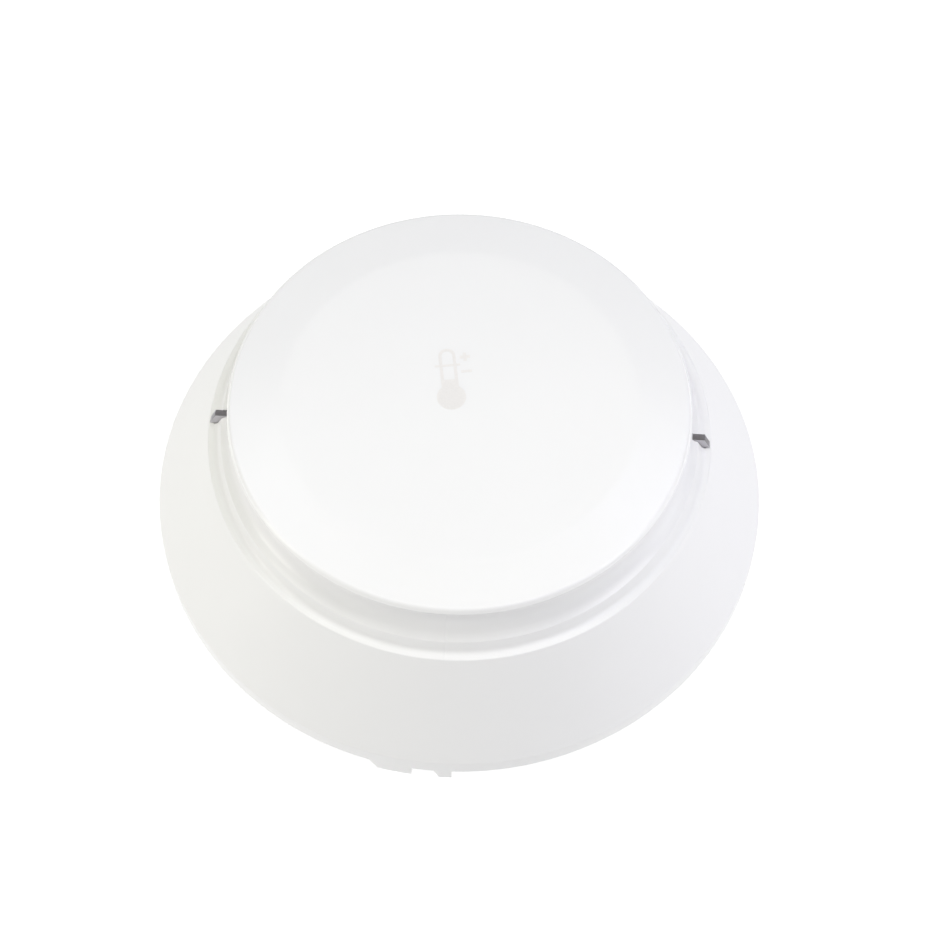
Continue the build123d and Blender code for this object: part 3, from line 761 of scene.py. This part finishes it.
across = stripes(nodes, links, coords, track_pitch, "X")
down = stripes(nodes, links, coords, track_pitch, "Y")
region = noise(nodes, links, coords, 0.09, 0)
picked = combine(nodes, links, "GREATER_THAN", region, 0.5)
not_picked = combine(nodes, links, "SUBTRACT", 1.0, picked)
lines = combine(
    nodes, links, "ADD",
    combine(nodes, links, "MULTIPLY", across, picked),
    combine(nodes, links, "MULTIPLY", down, not_picked),
)
tracks = combine(nodes, links, "GREATER_THAN", lines, track_edge)
links.new(
    blend_colours(nodes, links, tracks, mask_green, track_green),
    shader.inputs["Base Color"],
)
weave = combine(
    nodes, links, "MULTIPLY",
    stripes(nodes, links, coords, weave_pitch, "X"),
    stripes(nodes, links, coords, weave_pitch, "Y"),
)
relief = combine(nodes, links, "ADD", tracks, combine(nodes, links, "MULTIPLY", weave, weave_share))
raise_surface(nodes, links, shader, relief, copper_rise)
shader.inputs["Roughness"].default_value = 0.32
finish_node("circuit_board", board_green)

# ======== Lamps, chip and small parts on the board ========
# Moulded red lamps, black epoxy packages and glazed ceramic blocks, each soldered where it stands.


def moulded_resin(name, colour, second_colour, roughness, grain_per_mm, grain_mm):
    """Cast or moulded resin: its colour drifts between two near tones, with a grain in its gloss."""
    material, nodes, links, shader, coords = new_material(name)
    drift = between(nodes, links, noise(nodes, links, coords, grain_per_mm / 4, 3), 0, 1)
    links.new(blend_colours(nodes, links, drift, colour, second_colour), shader.inputs["Base Color"])
    cloud = noise(nodes, links, coords, grain_per_mm, 2)
    gloss = between(nodes, links, cloud, roughness - 0.05, roughness + 0.05)
    links.new(gloss, shader.inputs["Roughness"])
    raise_surface(nodes, links, shader, noise(nodes, links, coords, grain_per_mm, 3), grain_mm)
    return material


lamp_red = moulded_resin("lamp_red", (0.55, 0.015, 0.012), (0.62, 0.03, 0.02), 0.15, 2, 0.003)
chip_black = moulded_resin("chip_black", (0.012, 0.012, 0.013), (0.02, 0.02, 0.021), 0.55, 8, 0.010)
ceramic_buff = moulded_resin("ceramic_buff", (0.40, 0.33, 0.22), (0.46, 0.39, 0.28), 0.40, 4, 0.008)
finish_node("status_leds", lamp_red)
finish_node("microcontroller", chip_black)
finish_node("chip_parts", ceramic_buff)

# ======== Capacitors ========
# Aluminium cans on square feet: a sleeve-free drawn can, its top rolled over, with a faint brushed lay.
can_lay = (1, 1, 0.1)
aluminium = plated_metal("can_aluminium", (0.78, 0.79, 0.80), (0.68, 0.69, 0.70), 0.38, 0.5, can_lay)
finish_node("capacitors", aluminium)

# ======== Test switch ========
# A pale green glass capsule drawn down on two tinned leads, held off the board by their bends.
switch_glass, nodes, links, shader, coords = new_material("switch_glass")
shader.inputs["Transmission Weight"].default_value = 0.85
shader.inputs["IOR"].default_value = 1.5
tint = between(nodes, links, noise(nodes, links, coords, 0.8, 2), 0, 1)
links.new(
    blend_colours(nodes, links, tint, (0.62, 0.78, 0.66), (0.70, 0.84, 0.74)),
    shader.inputs["Base Color"],
)
shader.inputs["Roughness"].default_value = 0.06
raise_surface(nodes, links, shader, noise(nodes, links, coords, 1.5, 2), 0.010)
finish_node("reed_switch", switch_glass)

# ======== Thermistors, pad and post ========
# The sensing bead is dipped in amber glass, and the slow one in dark epoxy. A soft grey pad carries the
# disc's heat to the bead, and a natural nylon tube guides its leads up from the board.
bead_amber = moulded_resin("bead_amber", (0.42, 0.16, 0.03), (0.52, 0.22, 0.05), 0.12, 3, 0.004)
dip_black = moulded_resin("dip_black", (0.03, 0.035, 0.03), (0.05, 0.055, 0.05), 0.35, 3, 0.015)
pad_grey = moulded_resin("pad_grey", (0.30, 0.31, 0.33), (0.36, 0.37, 0.39), 0.75, 5, 0.030)
nylon = moulded_resin("nylon_natural", (0.74, 0.71, 0.62), (0.78, 0.75, 0.67), 0.40, 3, 0.008)
finish_node("sensing_thermistor", bead_amber)
finish_node("reference_thermistor", dip_black)
finish_node("thermal_pad", pad_grey)
finish_node("sensor_post", nylon)

# ======== Contact blades ========
# Tinned steel strips, blanked and bent, that hang from the board through the chassis.
blade_lay = (1, 1, 0.15)
tinned_steel = plated_metal("tinned_steel", (0.70, 0.70, 0.68), (0.60, 0.60, 0.57), 0.38, 0.7, blade_lay)
finish_node("contact_blades", tinned_steel)

# ======== Base plate ========
# The moulding that stays on the ceiling: white with a coarse spark-eroded grain, screwed up through
# its two slots or its two round holes.
finish_node("base_plate", satin_white("base_white", (0.82, 0.82, 0.81), 0.45, 0.004))

# ======== Terminals ========
# Sprung bronze strips under square plated clamps and brass screws, one set for each blade.
bronze = plated_metal("sprung_bronze", (0.72, 0.47, 0.26), (0.58, 0.36, 0.19), 0.38, 0.6)
brass = plated_metal("brass", (0.80, 0.62, 0.30), (0.66, 0.49, 0.22), 0.38, 0.8)
finish_node("spring_contacts", bronze)
finish_node("clamp_plates", zinc)
finish_node("terminal_screws", brass)
